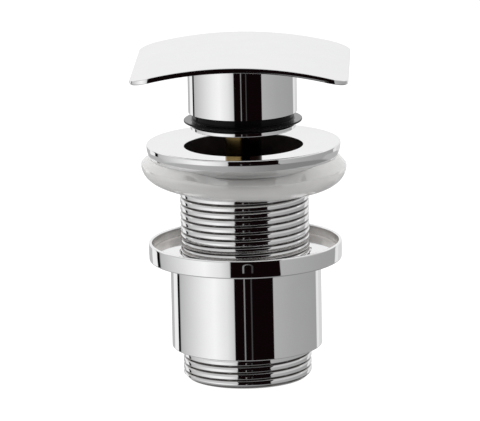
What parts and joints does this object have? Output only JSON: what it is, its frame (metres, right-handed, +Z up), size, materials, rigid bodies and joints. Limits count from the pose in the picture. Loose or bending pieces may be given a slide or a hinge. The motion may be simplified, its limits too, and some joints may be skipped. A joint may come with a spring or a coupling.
{
  "type": "pop up basin waste",
  "caption": "Chromed pop up basin waste: arched square cover on a sprung plug, flanged threaded body with soft seal, and a cupped lower body that screws up to clamp the basin.",
  "frame": {"origin": "centre of the outlet's lower end", "axes": "+Z up along the waste's axis from the outlet to the cover, +X across the cover's arch, -Y towards the viewer of the picture"},
  "size_m": [0.0694, 0.068, 0.1079],
  "materials": {
    "chrome": "bright mirror chrome on brass",
    "brass": "turned, slightly dull",
    "steel": "plain stainless",
    "black_rubber": "smooth black rubber",
    "grey_silicone": "smooth milky grey silicone, slightly see-through",
    "white_plastic": "natural white moulded plastic"
  },
  "bodies": {
    "waste_body": {"flanged_body": "chrome", "flange_seal": "grey_silicone", "cartridge_sleeve": "brass", "guide_bush": "brass", "rod_ring": "black_rubber", "track_pin": "steel", "return_spring": "steel", "cartridge_washer": "steel", "cartridge_nut": "brass"},
    "spring_seat": {"spring_washer": "steel"},
    "plug": {"cover_plate": "chrome", "plug_body": "chrome", "plug_lip_seal": "black_rubber", "seal_retainer": "chrome", "plug_lock_nut": "brass", "plunger_rod": "steel", "drum_clip": "steel"},
    "drum": {"track_drum": "white_plastic"},
    "ring": {"socket_ring": "white_plastic"},
    "lower": {"lower_body": "chrome"}
  },
  "joints": [
    {"name": "plug_slide", "type": "slide", "parent": "waste_body", "child": "spring_seat", "axis": [0, 0, 1], "range_m": [-0.012, 0], "stiffness_N_per_m": 500, "springref_m": 0.016, "deforming": ["return_spring"]},
    {"name": "cover_turn", "type": "hinge", "parent": "spring_seat", "child": "plug", "pos_m": [0, 0, 0.0616], "axis": [0, 0, 1], "continuous": true},
    {"name": "drum_turn", "type": "hinge", "parent": "spring_seat", "child": "drum", "pos_m": [0, 0, 0.0632], "axis": [0, 0, 1], "range_deg": [0, 45]},
    {"name": "clamp_slide", "type": "slide", "parent": "waste_body", "child": "ring", "axis": [0, 0, 1], "range_m": [-0.00694, 0.01387]},
    {"name": "clamp_turn", "type": "hinge", "parent": "ring", "child": "lower", "pos_m": [0, 0, 0], "axis": [0, 0, 1], "range_deg": [-1080, 2160]}
  ],
  "couplings": [
    {"joint": "drum_turn", "follows": "plug_slide", "rad_per_m": -65.449},
    {"joint": "clamp_slide", "follows": "clamp_turn", "m_per_rad": 0.00036749}
  ]
}
